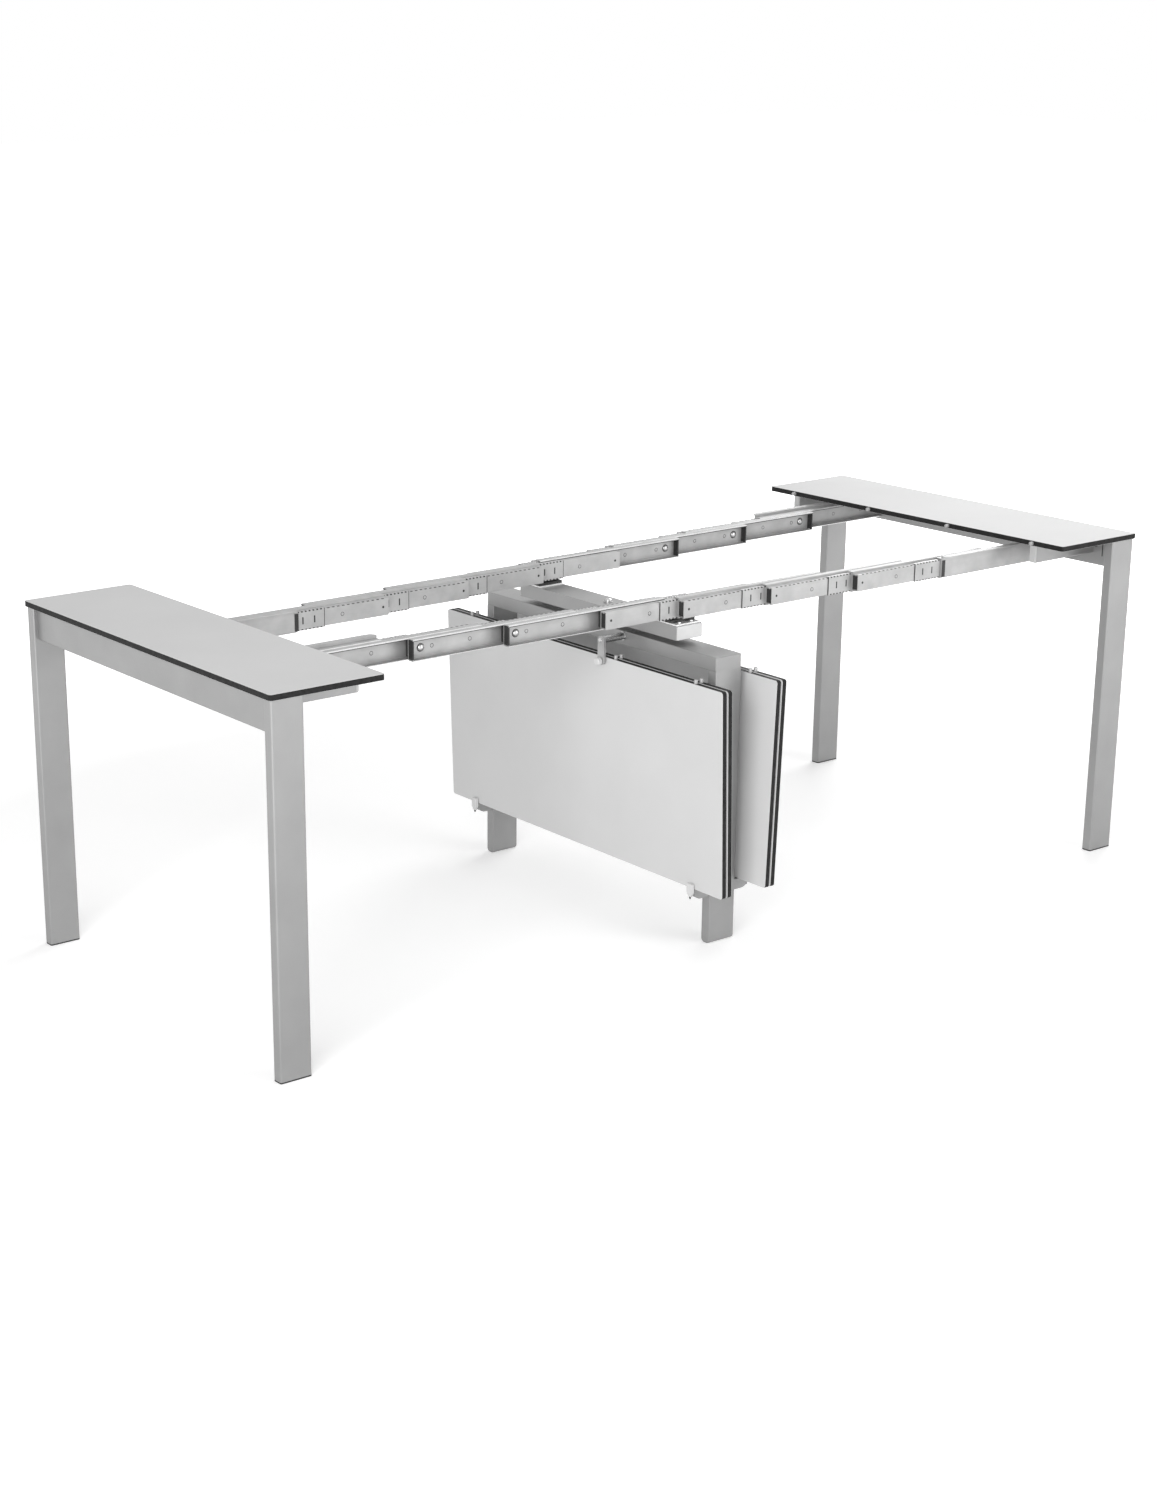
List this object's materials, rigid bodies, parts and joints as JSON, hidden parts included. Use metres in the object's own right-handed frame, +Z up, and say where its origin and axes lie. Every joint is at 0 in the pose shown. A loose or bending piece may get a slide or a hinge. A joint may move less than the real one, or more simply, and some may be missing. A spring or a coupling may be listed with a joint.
{
  "type": "extending console table",
  "caption": "Extending console table: two slab ends on tube legs slide apart on telescopic ball rails over a centre stand that stores the spare leaves.",
  "frame": {"origin": "on the floor, under the middle of the table", "axes": "+X along the length to the right-hand end, +Y to the back, +Z up"},
  "size_m": [2.34, 0.944, 0.753],
  "materials": {
    "laminate": "white compact laminate with a near-black core, fine matt",
    "frame_paint": "satin silver-grey powder paint",
    "rail_steel": "bright zinc-plated rolled steel",
    "fastener_steel": "bright plated steel",
    "black_plastic": "black moulded plastic",
    "white_plastic": "off-white moulded plastic"
  },
  "bodies": {
    "center_stand": {"center_front_leg": "frame_paint", "center_rear_leg": "frame_paint", "center_beam": "frame_paint", "crossbar": "frame_paint", "crossbar_fixing": "fastener_steel", "rail_saddles": "rail_steel", "center_rails": "rail_steel", "center_stops": "black_plastic", "leaf_supports": "frame_paint", "leaf_hooks": "white_plastic", "latch_rods": "fastener_steel"},
    "left_end": {"left_top": "laminate", "left_front_leg": "frame_paint", "left_rear_leg": "frame_paint", "left_feet": "black_plastic", "left_apron": "frame_paint", "left_arms": "frame_paint", "left_arm_caps": "white_plastic", "left_corner_brackets": "frame_paint", "left_screws": "fastener_steel", "left_rail_carriers": "rail_steel", "left_end_rails": "rail_steel"},
    "left_stage_1": {"left_rails_1": "rail_steel", "left_stops_1": "black_plastic"},
    "left_stage_2": {"left_rails_2": "rail_steel", "left_stops_2": "black_plastic"},
    "left_stage_3": {"left_rails_3": "rail_steel", "left_stops_3": "black_plastic"},
    "left_ball_cages_1": {"left_cages_1": "rail_steel"},
    "left_ball_cages_2": {"left_cages_2": "rail_steel"},
    "left_ball_cages_3": {"left_cages_3": "rail_steel"},
    "left_ball_cages_4": {"left_cages_4": "rail_steel"},
    "left_latch_strap": {"left_latch": "fastener_steel"},
    "left_inner_leaf_board": {"left_inner_leaf": "laminate"},
    "left_outer_leaf_board": {"left_outer_leaf": "laminate"},
    "right_end": {"right_top": "laminate", "right_front_leg": "frame_paint", "right_rear_leg": "frame_paint", "right_feet": "black_plastic", "right_apron": "frame_paint", "right_arms": "frame_paint", "right_arm_caps": "white_plastic", "right_corner_brackets": "frame_paint", "right_screws": "fastener_steel", "right_rail_carriers": "rail_steel", "right_end_rails": "rail_steel"},
    "right_stage_1": {"right_rails_1": "rail_steel", "right_stops_1": "black_plastic"},
    "right_stage_2": {"right_rails_2": "rail_steel", "right_stops_2": "black_plastic"},
    "right_stage_3": {"right_rails_3": "rail_steel", "right_stops_3": "black_plastic"},
    "right_ball_cages_1": {"right_cages_1": "rail_steel"},
    "right_ball_cages_2": {"right_cages_2": "rail_steel"},
    "right_ball_cages_3": {"right_cages_3": "rail_steel"},
    "right_ball_cages_4": {"right_cages_4": "rail_steel"},
    "right_latch_strap": {"right_latch": "fastener_steel"},
    "right_inner_leaf_board": {"right_inner_leaf": "laminate"},
    "right_outer_leaf_board": {"right_outer_leaf": "laminate"}
  },
  "joints": [
    {"name": "left_end_slide", "type": "slide", "parent": "center_stand", "child": "left_end", "axis": [1, 0, 0], "range_m": [0, 0.919]},
    {"name": "left_stage_1_slide", "type": "slide", "parent": "center_stand", "child": "left_stage_1", "axis": [1, 0, 0], "range_m": [0, 0.23776]},
    {"name": "left_stage_2_slide", "type": "slide", "parent": "center_stand", "child": "left_stage_2", "axis": [1, 0, 0], "range_m": [0, 0.46016]},
    {"name": "left_stage_3_slide", "type": "slide", "parent": "center_stand", "child": "left_stage_3", "axis": [1, 0, 0], "range_m": [0, 0.68669]},
    {"name": "left_cage_1_slide", "type": "slide", "parent": "center_stand", "child": "left_ball_cages_1", "axis": [1, 0, 0], "range_m": [0, 0.11898]},
    {"name": "left_cage_2_slide", "type": "slide", "parent": "center_stand", "child": "left_ball_cages_2", "axis": [1, 0, 0], "range_m": [0, 0.34896]},
    {"name": "left_cage_3_slide", "type": "slide", "parent": "center_stand", "child": "left_ball_cages_3", "axis": [1, 0, 0], "range_m": [0, 0.57343]},
    {"name": "left_cage_4_slide", "type": "slide", "parent": "center_stand", "child": "left_ball_cages_4", "axis": [1, 0, 0], "range_m": [0, 0.80295]},
    {"name": "right_end_slide", "type": "slide", "parent": "center_stand", "child": "right_end", "axis": [-1, 0, 0], "range_m": [0, 0.919]},
    {"name": "right_stage_1_slide", "type": "slide", "parent": "center_stand", "child": "right_stage_1", "axis": [-1, 0, 0], "range_m": [0, 0.19549]},
    {"name": "right_stage_2_slide", "type": "slide", "parent": "center_stand", "child": "right_stage_2", "axis": [-1, 0, 0], "range_m": [0, 0.42662]},
    {"name": "right_stage_3_slide", "type": "slide", "parent": "center_stand", "child": "right_stage_3", "axis": [-1, 0, 0], "range_m": [0, 0.66372]},
    {"name": "right_cage_1_slide", "type": "slide", "parent": "center_stand", "child": "right_ball_cages_1", "axis": [-1, 0, 0], "range_m": [0, 0.09784]},
    {"name": "right_cage_2_slide", "type": "slide", "parent": "center_stand", "child": "right_ball_cages_2", "axis": [-1, 0, 0], "range_m": [0, 0.31105]},
    {"name": "right_cage_3_slide", "type": "slide", "parent": "center_stand", "child": "right_ball_cages_3", "axis": [-1, 0, 0], "range_m": [0, 0.54517]},
    {"name": "right_cage_4_slide", "type": "slide", "parent": "center_stand", "child": "right_ball_cages_4", "axis": [-1, 0, 0], "range_m": [0, 0.79146]},
    {"name": "left_latch_swing", "type": "hinge", "parent": "center_stand", "child": "left_latch_strap", "pos_m": [-0.0945, -0.095, 0.619], "axis": [1, 0, 0], "range_deg": [-110, 110]},
    {"name": "left_inner_leaf_draw", "type": "slide", "parent": "center_stand", "child": "left_inner_leaf_board", "axis": [0, -1, 0], "range_m": [0, 0.98]},
    {"name": "left_outer_leaf_draw", "type": "slide", "parent": "center_stand", "child": "left_outer_leaf_board", "axis": [0, -1, 0], "range_m": [0, 0.98]},
    {"name": "right_latch_swing", "type": "hinge", "parent": "center_stand", "child": "right_latch_strap", "pos_m": [0.0945, 0.095, 0.619], "axis": [1, 0, 0], "range_deg": [-110, 110]},
    {"name": "right_inner_leaf_draw", "type": "slide", "parent": "center_stand", "child": "right_inner_leaf_board", "axis": [0, -1, 0], "range_m": [0, 0.98]},
    {"name": "right_outer_leaf_draw", "type": "slide", "parent": "center_stand", "child": "right_outer_leaf_board", "axis": [0, -1, 0], "range_m": [0, 0.98]}
  ],
  "couplings": [
    {"joint": "left_stage_1_slide", "follows": "left_end_slide", "ratio": 0.2585},
    {"joint": "left_stage_2_slide", "follows": "left_end_slide", "ratio": 0.5005},
    {"joint": "left_stage_3_slide", "follows": "left_end_slide", "ratio": 0.747},
    {"joint": "left_cage_1_slide", "follows": "left_end_slide", "ratio": 0.12925},
    {"joint": "left_cage_2_slide", "follows": "left_end_slide", "ratio": 0.3795},
    {"joint": "left_cage_3_slide", "follows": "left_end_slide", "ratio": 0.62375},
    {"joint": "left_cage_4_slide", "follows": "left_end_slide", "ratio": 0.8735},
    {"joint": "right_stage_1_slide", "follows": "right_end_slide", "ratio": 0.2125},
    {"joint": "right_stage_2_slide", "follows": "right_end_slide", "ratio": 0.464},
    {"joint": "right_stage_3_slide", "follows": "right_end_slide", "ratio": 0.722},
    {"joint": "right_cage_1_slide", "follows": "right_end_slide", "ratio": 0.10625},
    {"joint": "right_cage_2_slide", "follows": "right_end_slide", "ratio": 0.33825},
    {"joint": "right_cage_3_slide", "follows": "right_end_slide", "ratio": 0.593},
    {"joint": "right_cage_4_slide", "follows": "right_end_slide", "ratio": 0.861}
  ]
}
